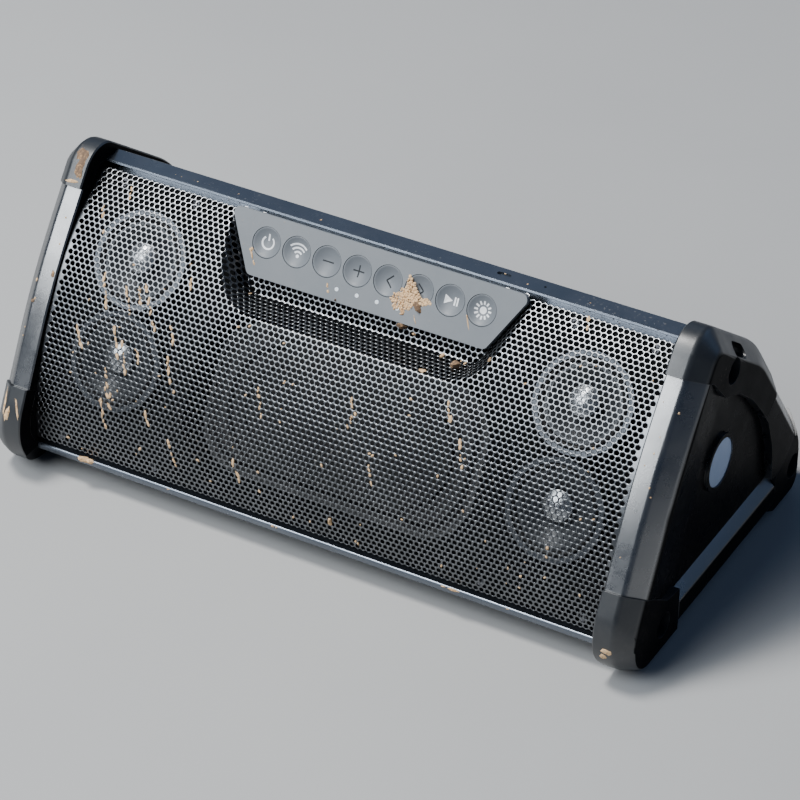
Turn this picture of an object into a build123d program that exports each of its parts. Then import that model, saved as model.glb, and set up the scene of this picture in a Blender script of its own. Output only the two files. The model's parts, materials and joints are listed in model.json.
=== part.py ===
from build123d import *
import math
import os

# Portable speaker: a wedge-shaped cabinet with a perforated front between two
# rubber-cornered end caps. Millimetres, +Z up, front towards -Y, X along the
# length. The origin is the middle of the footprint, on the surface it stands on.

# ---- driving dimensions -------------------------------------------------------
CABINET_HALF = 153.0       # centre to the inner face of an end cap
STRIP_WIDTH = 9.0          # flat front strip of an end cap, along X
EDGE_RUN = 9.0             # bevel from the strip to the cap's side, along X
EDGE_INSET = 11.0          # the same bevel, measured inwards along the side
CAP_SIDE = CABINET_HALF + STRIP_WIDTH + EDGE_RUN
BUMPER_PROUD = 2.0         # rubber corners stand out of the end cap by this
DEPTH = 193.0              # front to back over the bumpers
LEAN = 29.4                # the front leans back from vertical, degrees
CHORD_HEIGHT = 76.0        # height of the middle of the front
CHORD_Y = -47.6            # and its place front to back
RAIL_HALF = 69.6           # middle of the front to the inner edge of each rail
BULGE = 19.2               # how far the grille bows out of the rail line
BOW_POWER = 2.5            # shape of that bow
BOW_HALF = 70.0            # half height of the bow
SHEET = 1.0                # grille sheet
WALL = 3.0                 # cabinet wall

BUTTON_PITCH = 16.2
BUTTON_RADIUS = 7.42
BUTTON_CLEARANCE = 0.08
BUTTON_TRAVEL = 0.8
BUTTON_DISH = 4.3          # middle of the dished face
DISH_RADIUS = 14.2
BUTTON_V = 56.0            # height of the button row up the front
BUTTONS = ("power", "wireless", "minus", "plus", "previous", "next", "play", "light")
PANEL_FACE = 6.3           # panel's front face, out from the rail line
PANEL_BACK = 3.25
PAN_FLOOR = 3.2            # floor of the pressed recess behind the panel
PANEL_LOW, PANEL_HIGH = 39.3, 68.8
PANEL_HALF_LOW, PANEL_HALF_HIGH = 62.8, 79.1
LEDGE = 8.0                # recess floor left free under the panel
PAN_DRAFT = 0.6            # recess wall, run per rise

DRIVER_X = 117.0
DRIVER_ROWS = {"upper": (30.6, 10.5, 10.0), "lower": (-19.2, 10.5, -4.0)}   # v, n, tilt
CONE_RADIUS = 18.5

RADIATOR_FRONT = -4.0      # its plate's front face

GAP = 0.15                 # clearance between separate fixed pieces
SEAT = 0.05                # gap between a piece and the face it rests on


# ---- frames -------------------------------------------------------------------
def on_front(v, n):
    """A point v up the front and n out of it, as (Y, Z)."""
    lean = math.radians(LEAN)
    y = CHORD_Y + v * math.sin(lean) - n * math.cos(lean)
    z = CHORD_HEIGHT + v * math.cos(lean) + n * math.sin(lean)
    return (y, z)


FRONT = Plane(
    origin=(0, CHORD_Y, CHORD_HEIGHT),
    x_dir=(1, 0, 0),
    z_dir=(0, -math.cos(math.radians(LEAN)), math.sin(math.radians(LEAN))),
)
SIDE = Plane(origin=(0, 0, 0), x_dir=(0, 1, 0), z_dir=(1, 0, 0))


def place(part):
    """From front coordinates (x, v, n) to the speaker's own frame."""
    return FRONT.location * part


def slab(face, low, high):
    """Extrude a face drawn on XY from one height to another."""
    return Pos(0, 0, low) * extrude(face, high - low, dir=(0, 0, 1))


def prism(face, x_low, x_high):
    """Extrude a face drawn in (Y, Z) along X."""
    return Pos(x_low, 0, 0) * (SIDE.location * extrude(face, x_high - x_low, dir=(0, 0, 1)))


def polygon(points, radii=None):
    if radii is None:
        return make_face(Polyline(*points, close=True))
    return make_face(FilletPolyline(*points, radius=radii, close=True))


def turned(points):
    """Revolve a closed (radius, height) outline about Z."""
    return revolve(make_face(Plane.XZ * Polyline(*points, close=True)), axis=Axis.Z)


def rounded(half_x, v_low, v_high, radius):
    """Rounded rectangle, centred on X, between two heights."""
    return Pos(0, (v_low + v_high) / 2) * RectangleRounded(2 * half_x, v_high - v_low, radius)


def block(x, v, n):
    """Box from three (low, high) pairs."""
    middle = [(a + b) / 2 for a, b in (x, v, n)]
    return Pos(*middle) * Box(x[1] - x[0], v[1] - v[0], n[1] - n[0])


def peg(x, v, radius, low, high):
    return Pos(x, v, low) * Cylinder(radius, high - low, align=(Align.CENTER, Align.CENTER, Align.MIN))


parts = {}

# ---- end caps: outline --------------------------------------------------------
BASE_BEVEL = 4.0           # the side's bevel is only this deep along the base


def from_chord(y, z):
    """A point given from the middle of the front, as (Y, Z)."""
    return (CHORD_Y + y, CHORD_HEIGHT + z)


def cap_face(grow, drop=0.0):
    """Outline of an end cap on the side plane, grown, with its base lowered by drop."""
    low_slope = (66.0 - 17.5) / (CHORD_HEIGHT + 19.0)
    points = [
        (CHORD_Y - 66.0 - drop * low_slope, -drop),
        from_chord(-17.5, 19.0),
        from_chord(27.5, 77.6),
        from_chord(88.0, 33.0),
        (DEPTH / 2, CHORD_HEIGHT - 43.0),
        (DEPTH / 2, -drop),
    ]
    radii = [27, 342, 16, 70, 40, 18]
    face = make_face(FilletPolyline(*points, radius=radii, close=True))
    if grow == 0:
        return face
    return offset(face, amount=grow, kind=Kind.ARC)


# Section across the cap's rim: run along X from the cabinet, and inset from the outline.
RIM = [
    (0.0, 0.7), (0.7, 0.0), (STRIP_WIDTH - 0.8, 0.0), (STRIP_WIDTH + 0.7, 0.4),
    (STRIP_WIDTH + 2.1, 1.6), (STRIP_WIDTH + EDGE_RUN - 1.7, EDGE_INSET - 3.0),
    (STRIP_WIDTH + EDGE_RUN - 0.6, EDGE_INSET - 1.3), (STRIP_WIDTH + EDGE_RUN, EDGE_INSET + 0.4),
]


def cap_block(grow):
    """Outline with its flat strip and its rounded bevel, on the right-hand side."""
    drop = (EDGE_INSET - BASE_BEVEL) / EDGE_INSET
    sections = []
    for run, inset in RIM:
        outline = SIDE.location * cap_face(grow - inset, inset * drop)
        sections.append(Pos(CABINET_HALF + run, 0, 0) * outline)
    return loft(sections, ruled=True)


def cut_region(points, shrink=0.0):
    """A prism along X over the whole cap, from an outline in the side view."""
    face = make_face(Polyline(*points, close=True))
    if shrink:
        face = offset(face, amount=-shrink, kind=Kind.INTERSECTION)
    return Pos(CABINET_HALF - 5, 0, 0) * (SIDE.location * extrude(face, 40))


SKID_FRONT, SKID_REAR = 3.0, 107.0       # from the chord, along Y
SKID_TOP, SKID_BASE = -51.0, -72.5       # from the chord, along Z
SKID_BACK = CABINET_HALF + 5.0
BUMPER_REGIONS = {
    "top": [
        on_front(55, 60), on_front(55, 2), from_chord(40, 33), from_chord(56, 26),
        from_chord(72, 12.5), from_chord(90, -8), from_chord(131, 21),
        from_chord(131, 110), from_chord(-20, 110),
    ],
    "front": [
        on_front(-44, 60), on_front(-44, 4), from_chord(-10, -47), from_chord(SKID_FRONT, -49),
        from_chord(SKID_FRONT, -95), from_chord(-95, -95), from_chord(-95, -20),
    ],
    "rear": [
        from_chord(SKID_REAR, -95), from_chord(SKID_REAR, -52), from_chord(118, -48),
        from_chord(160, -18), from_chord(170, -18), from_chord(170, -95),
    ],
}
CAP_SCREWS = {"top": from_chord(47.5, 43.0), "front": from_chord(-12.5, -59.2),
              "rear": from_chord(127.0, -58.0)}
FLANGE_INSET = 9.0         # end cap flange behind each bumper's side
FLANGE_BACK = CABINET_HALF + 5.0
POCKET_RADIUS, POCKET_FLOOR = 6.4, CAP_SIDE - 6.0
SCREW_RADIUS = 2.0
PLUG_REACH = 8.0           # end cap's collar inside the cabinet
FOOT_BEVEL = 13.0          # inner lower edge of the feet, height and width
DISC_CENTRE = from_chord(45.0, -6.2)
DISC_RADIUS = 12.0
PLATE_SINK = 4.0           # how deep the middle of the side is sunk
SLOT_CENTRE, SLOT_LENGTH, SLOT_WIDTH = from_chord(57.5, 47.5), 17.0, 6.0
SLOT_ANGLE = -36.3


def along_x(radius, yz, x_low, x_high):
    disc = Pos(x_low, yz[0], yz[1]) * (Plane.YZ.location * Cylinder(
        radius, x_high - x_low, align=(Align.CENTER, Align.CENTER, Align.MIN)))
    return disc


def foot_cut():
    """Bevel along the inner lower edge of the feet."""
    corner = [(CABINET_HALF - 1, -1), (CABINET_HALF - 1, FOOT_BEVEL), (CABINET_HALF, FOOT_BEVEL),
              (CABINET_HALF + 4.5, 0), (CABINET_HALF + 4.5, -1)]
    face = Plane.XZ.location * polygon(corner)
    return Pos(0, DEPTH, 0) * extrude(face, 2 * DEPTH)


def flange_face():
    return cap_face(-FLANGE_INSET)


def strap_slot():
    face = Location((*SLOT_CENTRE, 0), (0, 0, SLOT_ANGLE)) * SlotOverall(SLOT_LENGTH, SLOT_WIDTH)
    return Pos(CABINET_HALF - 5, 0, 0) * (SIDE.location * extrude(face, 40))


def bumper(name):
    region = cut_region(BUMPER_REGIONS[name])
    flange = Pos(CABINET_HALF - 1, 0, 0) * (SIDE.location * extrude(flange_face(), 6.0))
    solid = (cap_block(0) & region) - flange
    solid -= along_x(POCKET_RADIUS, CAP_SCREWS[name], POCKET_FLOOR, CAP_SIDE + 1)
    solid -= along_x(SCREW_RADIUS + 0.1, CAP_SCREWS[name], CABINET_HALF, CAP_SIDE)
    if name == "top":
        solid -= strap_slot()
    else:
        solid -= foot_cut()
    return solid


def side_recess():
    """The sunken middle of the side, running out to nothing towards the front."""
    n_front, n_deep = 8.0, -24.0
    side, floor = CAP_SIDE, CAP_SIDE - PLATE_SINK
    section = [(side, n_front), (floor, n_deep), (floor, -170), (side + 5, -170), (side + 5, n_front)]
    face = Plane.XZ.location * make_face(Polyline(*[(x, n) for x, n in section], close=True))
    ramp = place(Pos(0, 110, 0) * extrude(face, 220))
    edge = [
        from_chord(-40, SKID_TOP), from_chord(0, 70), from_chord(60, 60), from_chord(79, 5),
        from_chord(92, -12), from_chord(99, -30), from_chord(102, SKID_TOP),
        from_chord(102, SKID_TOP - 8), from_chord(-40, SKID_TOP - 8),
    ]
    return ramp & cut_region(edge)


def end_cap():
    solid = cap_block(-BUMPER_PROUD)
    backing = Pos(CABINET_HALF, 0, 0) * (
        SIDE.location * extrude(cap_face(-FLANGE_INSET - GAP), 5.0 - GAP))
    for points in BUMPER_REGIONS.values():
        solid -= cut_region(points, shrink=-GAP)
    solid += backing
    skid = [from_chord(SKID_FRONT - 8, SKID_TOP + GAP), from_chord(SKID_REAR + 8, SKID_TOP + GAP),
            from_chord(SKID_REAR + 8, -95), from_chord(SKID_FRONT - 8, -95)]
    solid -= cut_region(skid) & prism(Rectangle(500, 500), SKID_BACK - GAP, CAP_SIDE + 5)
    solid -= side_recess()
    hollow = [from_chord(-18, -44), from_chord(16, 24), from_chord(36, 30), from_chord(66, 8),
              from_chord(92, -26), from_chord(92, -44)]
    solid -= cut_region(hollow) & Pos(CABINET_HALF, 0, 0) * Box(22.0, 4 * DEPTH, 4 * DEPTH)
    plug = prism(cabinet_face(-WALL - 0.2), CABINET_HALF - PLUG_REACH, CABINET_HALF + 4)
    solid += plug - prism(cabinet_face(-WALL - 3.2), CABINET_HALF - 20, CABINET_HALF + 20)
    for name in ("top", "front", "rear"):
        solid += along_x(5.0, CAP_SCREWS[name], CABINET_HALF, FLANGE_BACK - GAP)
        solid -= along_x(SCREW_RADIUS + 0.05, CAP_SCREWS[name], CABINET_HALF - 10, CAP_SIDE)
    solid += along_x(DISC_RADIUS + 2.2, DISC_CENTRE, CAP_SIDE - 6, CAP_SIDE - PLATE_SINK + 1.6)
    solid -= along_x(DISC_RADIUS + 0.1, DISC_CENTRE, CAP_SIDE - PLATE_SINK, CAP_SIDE)
    return solid - foot_cut()


def skid_bar():
    y_low, y_high = CHORD_Y + SKID_FRONT + GAP, CHORD_Y + SKID_REAR - GAP
    top, base = CHORD_HEIGHT + SKID_TOP, CHORD_HEIGHT + SKID_BASE
    section = [
        (SKID_BACK, top), (CAP_SIDE - 5.5, top), (CAP_SIDE, top - 6.5), (CAP_SIDE, base + 5.0),
        (CAP_SIDE - 4.5, base), (SKID_BACK + 3, base), (SKID_BACK, base + 4),
    ]
    face = Plane.XZ.location * make_face(Polyline(*section, close=True))
    return Pos(0, y_high, 0) * extrude(face, y_high - y_low)


def cap_screw(name):
    """Pan head with a hexagon socket, in the floor of its pocket."""
    y, z = CAP_SCREWS[name]
    head = along_x(3.9, (y, z), POCKET_FLOOR + 0.02, POCKET_FLOOR + 2.6)
    shaft = along_x(SCREW_RADIUS, (y, z), CABINET_HALF + 0.5, POCKET_FLOOR + 0.1)
    socket = extrude(RegularPolygon(2.0, 6), 1.8)
    return head + shaft - Pos(POCKET_FLOOR + 1.0, y, z) * (SIDE.location * socket)


def cap_disc():
    return along_x(DISC_RADIUS, DISC_CENTRE, CAP_SIDE - PLATE_SINK + 0.02, CAP_SIDE - PLATE_SINK + 1.2)


# ---- cabinet ------------------------------------------------------------------
REAR_LOW, REAR_HIGH = (137.0, -44.0), (81.5, 26.5)     # ends of the rear slope, from the chord
CABINET_POINTS = [
    on_front(-69.5, -6.0), from_chord(137.0, -63.5), from_chord(*REAR_LOW),
    from_chord(*REAR_HIGH), on_front(70.5, -9.4),
]
CABINET_RADII = [3.0, 8.0, 28.0, 60.0, 3.0]
CABINET_END = CABINET_HALF - GAP
OPEN_V = 60.0              # half height of the opening behind the baffle
LIP_LOW, LIP_HIGH = -6.1, -9.3           # n of the shell's face under and over the opening
BAFFLE_SCREWS = [(-140, 62.3), (-100, 62.3), (100, 62.3), (140, 62.3),
                 (-140, -62.3), (-88, -62.3), (88, -62.3), (140, -62.3)]
BATTERY = (70.0, 38.0, 20.0)
BATTERY_Y = 22.0
FLOOR = CHORD_HEIGHT - 63.5 + WALL       # inside floor of the cabinet


def cabinet_face(grow):
    """Outline of the cabinet between the end caps."""
    face = polygon(CABINET_POINTS, CABINET_RADII)
    if grow == 0:
        return face
    return offset(face, amount=grow, kind=Kind.ARC)


REAR = Plane(
    origin=(0, *from_chord(108.3, -7.5)),
    x_dir=(-1, 0, 0),
    z_dir=(0, REAR_HIGH[1] - REAR_LOW[1], REAR_LOW[0] - REAR_HIGH[0]),
)
PORT_X, PORT_S = 35.0, 17.0              # half sizes of the port cover's recess
PORT_DEPTH = 6.5
HINGE_S, HINGE_H = -15.0, -1.8           # cover's axis, up the slope and out of it
PIN_RADIUS = 0.6
BARREL_RADIUS = 1.6
BOARD_H = -18.0                          # socket side of the amplifier board
SOCKET_X = (-20.0, 0.0, 20.0)            # power, charging output, audio


def cabinet_shell():
    shell = prism(cabinet_face(0), -CABINET_END, CABINET_END)
    shell -= prism(cabinet_face(-WALL), -CABINET_HALF, CABINET_HALF)
    shell -= place(block((-CABINET_HALF, CABINET_HALF), (-OPEN_V, OPEN_V), (-20, 1)))
    opening = block((-PORT_X - 2.7, PORT_X + 2.7), (-PORT_S - 2.5, PORT_S + 2.5), (-12, 5))
    shell -= REAR.location * opening
    for x, v in BAFFLE_SCREWS:
        shell -= place(peg(x, v, 1.3, -16, 0))
    half_x, half_y = BATTERY[0] / 2 + 0.3, BATTERY[1] / 2 + 0.3
    for y in (BATTERY_Y - half_y - 2, BATTERY_Y + half_y):
        shell += block((-half_x, half_x), (y, y + 2), (FLOOR - 0.5, FLOOR + 9))
    for x in (-half_x - 2, half_x):
        shell += block((x, x + 2), (BATTERY_Y - 12, BATTERY_Y + 12), (FLOOR - 0.5, FLOOR + 9))
    return shell


def top_rail():
    section = [(69.6, 0.8), (69.8, 1.2), (70.7, 1.2), (71.3, 0.7), (75.9, -6.6), (75.9, -7.2),
               (74.0, -9.2), (66.0, -9.2), (66.0, -7.2), (69.6, -7.2)]
    rail = prism(polygon([on_front(v, n) for v, n in section]), -CABINET_END, CABINET_END)
    y, z = on_front(73.6, -3.0)
    rail -= Pos(59.0, y, z - 1.6) * slab(SlotOverall(7.0, 2.2), 0, 5)
    rail -= Pos(80.0, y, z - 1.6) * slab(Circle(0.6), 0, 5)
    return rail


def bottom_rail():
    section = [(-69.6, 0.8), (-69.8, 1.2), (-70.7, 1.2), (-71.3, 0.8), (-73.2, -1.4),
               (-72.2, -6.0), (-66.4, -6.0), (-66.4, -5.0), (-69.6, -1.0)]
    return prism(polygon([on_front(v, n) for v, n in section]), -CABINET_END, CABINET_END)


def bow(v):
    """How far the grille stands out of the rail line, v up the front."""
    return BULGE * (1.0 - abs(v / BOW_HALF) ** BOW_POWER)


def under_bow(drop, half_v, base, half_x):
    """Everything between a base level and the bow lowered by drop."""
    steps = [half_v * (i / 12.0) for i in range(-12, 13)]
    curve = [on_front(v, bow(v) - drop) for v in steps]
    ends = [on_front(half_v, base), on_front(-half_v, base)]
    wire = [Spline(*curve), Polyline(curve[-1], ends[0], ends[1], curve[0])]
    return prism(make_face(wire), -half_x, half_x)


PANEL_SLOPE = (PANEL_HALF_HIGH - PANEL_HALF_LOW) / (PANEL_HIGH - PANEL_LOW)


def trapezoid(low, high, grow, radius):
    """Outline of the control panel between two heights, grown all round."""
    spread = grow * math.hypot(1.0, PANEL_SLOPE)
    low, high = low - grow, high + grow
    half_low = PANEL_HALF_LOW + (low - PANEL_LOW) * PANEL_SLOPE + spread
    half_high = PANEL_HALF_LOW + (high - PANEL_LOW) * PANEL_SLOPE + spread
    corners = [(-half_low, low), (half_low, low), (half_high, high), (-half_high, high)]
    return polygon(corners, radius)


def panel(grow, radius=3.0):
    return trapezoid(PANEL_LOW, PANEL_HIGH, grow, radius)


def recess(grow, floor):
    """Body of the pressed recess, from its floor out past the grille."""
    low, high, top = PANEL_LOW - LEDGE + 0.7, 74.3, 22.0
    start = 0.7 + grow + PAN_DRAFT * (floor - PAN_FLOOR)
    end = 0.7 + grow + PAN_DRAFT * (top - PAN_FLOOR)
    base = Pos(0, 0, floor) * trapezoid(low, high, start, 4.0)
    mouth = Pos(0, 0, top) * trapezoid(low, high, end, 9.0)
    return place(loft([base, mouth], ruled=True))


def front_grille():
    half_x, half_v, back = CABINET_HALF - 0.2, 69.2, -1.0
    outer = under_bow(0, half_v, back, half_x) - recess(0, PAN_FLOOR)
    inner = under_bow(SHEET, half_v - SHEET, back - 1, half_x + 1)
    inner -= recess(SHEET * math.hypot(1.0, PAN_DRAFT), PAN_FLOOR - SHEET)
    sheet = outer - inner
    return sheet - place(slab(panel(-1.2), 0, 5))


# ---- controls -----------------------------------------------------------------
LIGHTS = [(-16.0, 45.2), (-5.3, 45.2), (5.3, 45.2), (16.0, 45.2)]
BOARD_FRONT, BOARD_BACK = -2.0, -3.6
SWITCH_TOP = -0.45
BUTTON_X = [(i - 3.5) * BUTTON_PITCH for i in range(len(BUTTONS))]
BUTTON_BORE = BUTTON_RADIUS + BUTTON_CLEARANCE


def control_panel():
    pad = slab(panel(0), PANEL_BACK, PANEL_FACE)
    rim = slab(panel(-1.5), BOARD_FRONT + SEAT, PANEL_BACK + 0.1)
    pad += rim - slab(panel(-2.7, 1.5), BOARD_FRONT - 1, PANEL_BACK)
    for x in BUTTON_X:
        pad -= peg(x, BUTTON_V, BUTTON_BORE, 0, PANEL_FACE + 1)
    for x, v in LIGHTS:
        pad -= peg(x, v, 1.0, 0, PANEL_FACE + 1)
    return place(pad)


def button(x):
    """Dished key with a retaining flange and a stem down to its switch."""
    stem = SWITCH_TOP + BUTTON_TRAVEL + SEAT
    key = turned([
        (0, stem), (1.6, stem), (1.6, 2.0), (7.9, 2.0), (7.9, 3.1), (BUTTON_RADIUS, 3.1),
        (BUTTON_RADIUS, 5.8), (7.1, 6.1), (0, 6.1),
    ])
    dish = Pos(0, 0, BUTTON_DISH + DISH_RADIUS) * Sphere(DISH_RADIUS)
    return place(Pos(x, BUTTON_V, 0) * (key - dish))


def panel_lights():
    return Compound([place(peg(x, v, 0.95, BOARD_FRONT + SEAT, PANEL_FACE + 0.02)) for x, v in LIGHTS])


def key_switches():
    switches = []
    for x in BUTTON_X:
        switch = block((x - 3, x + 3), (BUTTON_V - 3, BUTTON_V + 3), (BOARD_FRONT + 0.02, -1.1))
        switches.append(place(switch + peg(x, BUTTON_V, 1.7, -1.2, SWITCH_TOP)))
    return Compound(switches)


def control_board():
    return place(slab(panel(-1.5, 2.0), BOARD_BACK, BOARD_FRONT))


# ---- loudspeakers -------------------------------------------------------------
def driver_place(side, row):
    v, n, tilt = DRIVER_ROWS[row]
    return Pos(side * DRIVER_X, v, n) * Rot(-tilt, 0, 0)


def basket():
    return turned([
        (21.5, 0), (24, 0), (24, -2), (22.3, -2), (22.3, -4), (15, -14), (15, -16), (8, -16),
        (8, -14.5), (13.4, -14.5), (20.9, -3.6), (21.5, -2.2),
    ])


def magnet():
    return turned([
        (0, -16.05), (5.3, -16.05), (5.3, -25), (6.8, -25), (6.8, -16.05), (16, -16.05),
        (16, -26), (0, -26),
    ])


def surround():
    return turned([
        (18.6, -1.8), (18.6, -1.0), (19.3, -0.1), (20.0, 0.2), (20.7, -0.1), (21.4, -1.0),
        (21.4, -1.8), (20.0, -0.8),
    ])


def cone():
    return turned([
        (0, -4.6), (4.0, -5.1), (7.2, -7.0), (17.0, -1.0), (CONE_RADIUS, -1.0),
        (CONE_RADIUS, -1.8), (17.2, -1.8), (7.0, -8.4), (6.2, -8.9), (6.2, -17.0),
        (5.9, -17.0), (5.9, -8.2), (4.0, -6.0), (0, -5.4),
    ])


RADIATOR_BACK = RADIATOR_FRONT - 3.0
FRAME_FRONT, FRAME_BACK = -5.0, -9.0
BAFFLE_FRONT, BAFFLE_BACK = 5.0, 1.0


def radiator_frame():
    ring = slab(rounded(77.0, -59.0, 24.0, 29.0), FRAME_BACK, FRAME_FRONT - SEAT)
    return place(ring - slab(rounded(70.0, -52.0, 17.0, 22.0), FRAME_BACK - 1, FRAME_FRONT + 1))


def radiator_surround():
    ring = slab(rounded(69.8, -51.8, 16.8, 21.8), -7.0, -6.0)
    outer = Pos(0, 0, -6.0) * rounded(67.8, -49.8, 14.8, 20.0)
    ridge = Pos(0, 0, -4.2) * rounded(65.3, -47.6, 12.3, 20.0)
    ring += loft([outer, ridge], ruled=True)
    low = Pos(0, 0, -6.0) * rounded(59.1, -47.1 + 0.2, 10.0, 26.0)
    high = Pos(0, 0, -4.0) * rounded(61.5, -47.0, 11.5, 26.5)
    ring -= loft([low, high], ruled=True)
    ring -= slab(rounded(57.1, -45.1, 8.1, 26.1), -8.0, 0)
    return place(ring)


def radiator_plate():
    plate = slab(rounded(56.9, -44.9, 7.9, 25.9), RADIATOR_BACK, RADIATOR_FRONT)
    plate -= slab(rounded(52.0, -40.0, 3.0, 21.0), RADIATOR_FRONT - 0.8, RADIATOR_FRONT + 1)
    return place(plate)


def funnel(grow):
    wide = Pos(0, 0, BAFFLE_FRONT) * rounded(78.0 + grow, -60.0 - grow, 25.0 + grow, 30.0 + grow)
    low = Pos(0, 0, FRAME_FRONT) * rounded(72.0 + grow, -54.0 - grow, 19.0 + grow, 24.0 + grow)
    return loft([low, wide], ruled=True)


def front_baffle():
    edge_x, edge_v = CABINET_HALF - 0.5, 65.8
    plate = block((-edge_x, edge_x), (-edge_v, edge_v), (BAFFLE_BACK, BAFFLE_FRONT))
    plate += block((-edge_x, edge_x), (62.5, edge_v), (LIP_HIGH + 0.2, 2))
    plate += block((-edge_x, edge_x), (-edge_v, -62.5), (LIP_LOW + 0.1, 2))
    for side in (-1, 1):
        x = sorted((side * (edge_x - 3), side * edge_x))
        plate += block(x, (-edge_v, edge_v), (LIP_LOW + 0.1, 2))
        for row in DRIVER_ROWS:
            plate += driver_place(side, row) * peg(0, 0, 25.3, -12, -2.05)
    for x, v in BAFFLE_SCREWS:
        low = LIP_HIGH if v > 0 else LIP_LOW
        plate += peg(x, v, 3.2, low + 0.2, 2)
    plate += funnel(2.0)
    plate += slab(rounded(77.0, -59.0, 24.0, 29.0), FRAME_FRONT, FRAME_FRONT + 2)
    plate -= funnel(0)
    plate += slab(panel(10.0, 6.0), -8, BAFFLE_FRONT) & block((-150, 150), (0, edge_v), (-8, 5))
    plate -= slab(panel(7.0, 4.0), -5, 20)
    for x, v in ((-52, 62), (52, 62), (-46, 45), (46, 45), (0, 62)):
        plate += peg(x, v, 2.5, -5.5, BOARD_BACK - SEAT)
    for side in (-1, 1):
        for row in DRIVER_ROWS:
            plate -= driver_place(side, row) * peg(0, 0, 22.6, -40, 10)
            plate -= driver_place(side, row) * peg(0, 0, 24.3, -2.05, 20)
    for x, v in BAFFLE_SCREWS:
        plate -= peg(x, v, 1.6, -12, 10)
        plate -= peg(x, v, 2.8, -1.0, 10)
    envelope = under_bow(SHEET + SEAT, 66.0, -12.0, CABINET_HALF)
    return (place(plate) & envelope) - recess(3.0, PAN_FLOOR - 2.0)


def baffle_screws():
    screws = []
    for x, v in BAFFLE_SCREWS:
        screw = peg(x, v, 1.25, -13, -0.9) + peg(x, v, 2.5, -0.95, 0.9)
        screw -= Pos(x, v, -0.3) * slab(RegularPolygon(1.2, 6), 0, 2)
        screws.append(place(screw))
    return Compound(screws)


# ---- power and connections ----------------------------------------------------
def battery_pack():
    middle = Pos(0, BATTERY_Y, FLOOR + SEAT + BATTERY[2] / 2)
    return fillet((middle * Box(*BATTERY)).edges(), 2.0)


def along_rear(s, h, radius, half):
    """Bar parallel to X, placed in the rear slope's own frame."""
    bar = Cylinder(radius, 2 * half, rotation=(0, 90, 0))
    return Pos(0, s, h) * bar


def port_panel():
    tray = slab(RectangleRounded(2 * PORT_X + 5.0, 2 * PORT_S + 4.6, 4), -PORT_DEPTH - 1.5, 0)
    tray += slab(RectangleRounded(2 * PORT_X + 12.0, 2 * PORT_S + 12.0, 5), -5.2, -WALL - 0.1)
    tray -= slab(Rectangle(2 * PORT_X, 2 * PORT_S), -PORT_DEPTH, 1)
    tray -= peg(SOCKET_X[0], 0, 4.15, -10, 0)
    tray -= block((SOCKET_X[1] - 7.3, SOCKET_X[1] + 7.3), (-3.6, 3.6), (-10, 0))
    tray -= peg(SOCKET_X[2], 0, 3.55, -10, 0)
    for x in (-32, 32):
        for s in (-12, 12):
            tray += peg(x, s, 2.5, BOARD_H + SEAT, -PORT_DEPTH - 1)
    tray -= along_rear(HINGE_S, HINGE_H, PIN_RADIUS + 0.02, PORT_X + 2.0)
    return REAR.location * tray


def port_hinge_pin():
    return REAR.location * along_rear(HINGE_S, HINGE_H, PIN_RADIUS, PORT_X + 1.8)


def port_cover():
    half_x, top = PORT_X - 0.3, PORT_S - 0.3
    door = block((-half_x, half_x), (HINGE_S, top), (-2.2, -0.2))
    door = fillet(door.edges().filter_by(Axis.Z).group_by(Axis.Y)[-1], 3.0)
    door += along_rear(HINGE_S, HINGE_H, BARREL_RADIUS, half_x)
    door += block((-9, 9), (top - 1.6, top), (-0.4, 0.6))
    return REAR.location * (door - along_rear(HINGE_S, HINGE_H, PIN_RADIUS + 0.05, PORT_X))


def port_sockets():
    power, charge, audio = SOCKET_X
    jack = block((power - 5, power + 5), (-5.5, 5.5), (BOARD_H + SEAT, -8.2))
    jack += peg(power, 0, 4.0, -9, -6.3)
    jack -= peg(power, 0, 2.9, -15, 0)
    outlet = block((charge - 7.1, charge + 7.1), (-3.4, 3.4), (BOARD_H + SEAT, -6.3))
    outlet -= block((charge - 6.3, charge + 6.3), (-2.6, 2.6), (-16.5, 0))
    outlet += block((charge - 5.5, charge + 5.5), (0.2, 2.0), (-17, -7.3))
    phono = block((audio - 4, audio + 4), (-4, 4), (BOARD_H + SEAT, -8.2)) + peg(audio, 0, 3.4, -9, -6.3)
    phono -= peg(audio, 0, 1.8, -17, 0)
    return Compound([REAR.location * s for s in (jack, outlet, phono)])


def amplifier_board():
    board = slab(RectangleRounded(84, 34, 2), BOARD_H - 1.6, BOARD_H)
    low = BOARD_H - 1.6
    board += block((-14, 2), (-8, 8), (low - 6, low + 0.1))
    for x, s, radius, height in ((14, 6, 4.0, 10), (24, 6, 4.0, 10), (-26, 5, 5.0, 7), (-26, -8, 3.0, 6)):
        board += peg(x, s, radius, low - height, low + 0.1)
    return REAR.location * board


# ---- the whole speaker --------------------------------------------------------
def both_sides(name, solid):
    """The right-hand piece as drawn and its mirror image on the left."""
    parts["right_" + name] = solid
    parts["left_" + name] = mirror(solid, about=Plane.YZ)


both_sides("end_cap", end_cap())
both_sides("skid_bar", skid_bar())
both_sides("cap_disc", cap_disc())
both_sides("cap_screws", Compound([cap_screw(name) for name in CAP_SCREWS]))
for name in BUMPER_REGIONS:
    both_sides("bumper_" + name, bumper(name))

parts["cabinet_shell"] = cabinet_shell()
parts["front_baffle"] = front_baffle()
parts["front_grille"] = front_grille()
parts["top_rail"] = top_rail()
parts["bottom_rail"] = bottom_rail()
parts["baffle_screws"] = baffle_screws()
parts["control_panel"] = control_panel()
parts["control_board"] = control_board()
parts["key_switches"] = key_switches()
parts["panel_lights"] = panel_lights()
for name, x in zip(BUTTONS, BUTTON_X):
    parts["button_" + name] = button(x)

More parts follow.
